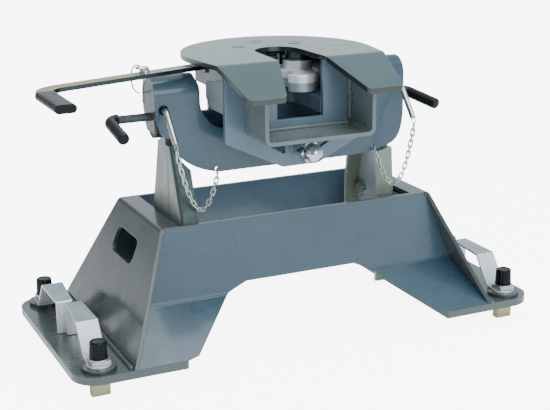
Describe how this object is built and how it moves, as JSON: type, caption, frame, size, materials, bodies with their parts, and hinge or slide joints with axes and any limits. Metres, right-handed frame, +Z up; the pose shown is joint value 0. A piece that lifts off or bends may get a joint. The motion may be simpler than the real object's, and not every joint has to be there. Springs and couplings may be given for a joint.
{
  "type": "fifth wheel hitch",
  "caption": "Fifth wheel hitch for a pickup bed: slotted skid plate with kingpin jaws on a tilting cradle, swing handle, pull pins, and a trough-shaped base with turn-lock feet.",
  "frame": {"origin": "middle of the four bed anchors, at the height of their lower ends", "axes": "+X across the truck, -Y towards the tailgate where the kingpin enters, +Z up"},
  "size_m": [0.8248, 0.4344, 0.4665],
  "materials": {
    "paint": "satin slate grey powder coat",
    "paint_panel": "satin grey powder coat",
    "paint_dark": "satin slate grey powder coat",
    "paint_top": "glossy grey powder coat",
    "zinc_upright": "zinc plated",
    "zinc_bright": "bright zinc plated",
    "zinc_bar": "zinc plated, slightly golden",
    "zinc_strap": "bright zinc plated",
    "zinc_yellow": "yellow zinc plated",
    "urethane": "matt black urethane",
    "vinyl": "satin black vinyl",
    "cap_black": "satin black",
    "black_bar": "black painted bar",
    "chrome": "polished",
    "dark_steel": "oiled dark steel",
    "machined": "machined, lightly plated",
    "spring_steel": "spring steel",
    "grey_cheek": "light grey paint"
  },
  "bodies": {
    "base": {"end_panel_left": "paint_panel", "end_panel_right": "paint_panel", "base_front_plate": "paint", "base_back_plate": "paint", "foot_plate_left": "paint_panel", "foot_plate_right": "paint_panel", "anchor_bosses": "paint_panel", "upright_left": "zinc_upright", "upright_right": "zinc_upright", "upright_brackets": "paint_dark", "upright_bolts": "zinc_bright"},
    "cradle": {"cradle_frame": "paint", "roll_sleeve": "paint", "ear_plate_left": "paint_panel", "ear_plate_right": "paint_panel", "ear_bushing_left": "urethane", "ear_bushing_right": "urethane", "safety_chain_left": "zinc_bright", "safety_chain_right": "zinc_bright", "tether_screw": "zinc_bright"},
    "head": {"skid_plate": "paint_top", "head_front_plate": "paint_dark", "kingpin_box": "paint_dark", "head_back_plate": "paint_dark", "jaw_floor": "paint_dark", "head_ribs": "paint_dark", "side_gussets": "grey_cheek", "roll_pin": "zinc_bright", "roll_pin_nuts": "chrome", "cam_pivot": "dark_steel", "jaw_pin_left": "dark_steel", "jaw_pin_right": "dark_steel", "jaw_spring": "spring_steel", "kingpin_guide": "paint_dark"},
    "jaw_left_body": {"jaw_left": "machined"},
    "jaw_right_body": {"jaw_right": "machined"},
    "handle": {"cam": "dark_steel", "handle_bar": "zinc_bar", "handle_sleeve": "vinyl", "handle_bolt": "zinc_bright"},
    "handle_lock": {"lock_pin": "zinc_bright", "lock_ring": "zinc_bright"},
    "pull_left": {"pull_pin_left": "black_bar", "pull_grip_left": "vinyl"},
    "pull_right": {"pull_pin_right": "black_bar", "pull_grip_right": "vinyl"},
    "safety_left": {"safety_pin_left": "zinc_bright"},
    "safety_right": {"safety_pin_right": "zinc_bright"},
    "lock_front_left": {"anchor_front_left": "zinc_yellow", "anchor_cap_front_left": "cap_black", "lock_handle_front_left": "zinc_strap"},
    "lock_rear_left": {"anchor_rear_left": "zinc_yellow", "anchor_cap_rear_left": "cap_black", "lock_handle_rear_left": "zinc_strap"},
    "lock_front_right": {"anchor_front_right": "zinc_yellow", "anchor_cap_front_right": "cap_black", "lock_handle_front_right": "zinc_strap"},
    "lock_rear_right": {"anchor_rear_right": "zinc_yellow", "anchor_cap_rear_right": "cap_black", "lock_handle_rear_right": "zinc_strap"}
  },
  "joints": [
    {"name": "head_pitch", "type": "hinge", "parent": "base", "child": "cradle", "pos_m": [0, -0.015, 0.379], "axis": [1, 0, 0], "range_deg": [-6, 6], "deforming": ["safety_chain_left", "safety_chain_right"]},
    {"name": "head_roll", "type": "hinge", "parent": "cradle", "child": "head", "pos_m": [0, 0, 0.325], "axis": [0, 1, 0], "range_deg": [-3, 3]},
    {"name": "handle_swing", "type": "hinge", "parent": "head", "child": "handle", "pos_m": [0, 0.08, 0.45], "axis": [0, 0, 1], "range_deg": [-30, 0]},
    {"name": "jaw_right_swing", "type": "hinge", "parent": "head", "child": "jaw_right_body", "pos_m": [0.052, 0.018, 0.416], "axis": [0, 0, 1], "range_deg": [0, 24], "deforming": ["jaw_spring"]},
    {"name": "jaw_left_swing", "type": "hinge", "parent": "head", "child": "jaw_left_body", "pos_m": [-0.052, 0.018, 0.416], "axis": [0, 0, 1], "range_deg": [-24, 0]},
    {"name": "lock_pin_lift", "type": "slide", "parent": "handle", "child": "handle_lock", "axis": [0, 0, 1], "range_m": [0, 0.025]},
    {"name": "pull_left_slide", "type": "slide", "parent": "cradle", "child": "pull_left", "axis": [-1, 0, 0], "range_m": [-0.043, 0.03]},
    {"name": "pull_right_slide", "type": "slide", "parent": "cradle", "child": "pull_right", "axis": [1, 0, 0], "range_m": [0, 0.073]},
    {"name": "safety_left_slide", "type": "slide", "parent": "cradle", "child": "safety_left", "axis": [0, -1, 0], "range_m": [0, 0.06]},
    {"name": "safety_right_slide", "type": "slide", "parent": "cradle", "child": "safety_right", "axis": [0, -1, 0], "range_m": [0, 0.06]},
    {"name": "lock_front_left_turn", "type": "hinge", "parent": "base", "child": "lock_front_left", "pos_m": [-0.3571, -0.1517, 0.05], "axis": [0, 0, 1], "range_deg": [0, 90]},
    {"name": "lock_rear_left_turn", "type": "hinge", "parent": "base", "child": "lock_rear_left", "pos_m": [-0.3571, 0.1517, 0.05], "axis": [0, 0, 1], "range_deg": [-90, 0]},
    {"name": "lock_front_right_turn", "type": "hinge", "parent": "base", "child": "lock_front_right", "pos_m": [0.3571, -0.1517, 0.05], "axis": [0, 0, 1], "range_deg": [-90, 0]},
    {"name": "lock_rear_right_turn", "type": "hinge", "parent": "base", "child": "lock_rear_right", "pos_m": [0.3571, 0.1517, 0.05], "axis": [0, 0, 1], "range_deg": [0, 90]}
  ],
  "couplings": [
    {"joint": "jaw_right_swing", "follows": "handle_swing", "ratio": -0.8},
    {"joint": "jaw_left_swing", "follows": "handle_swing", "ratio": 0.8}
  ]
}
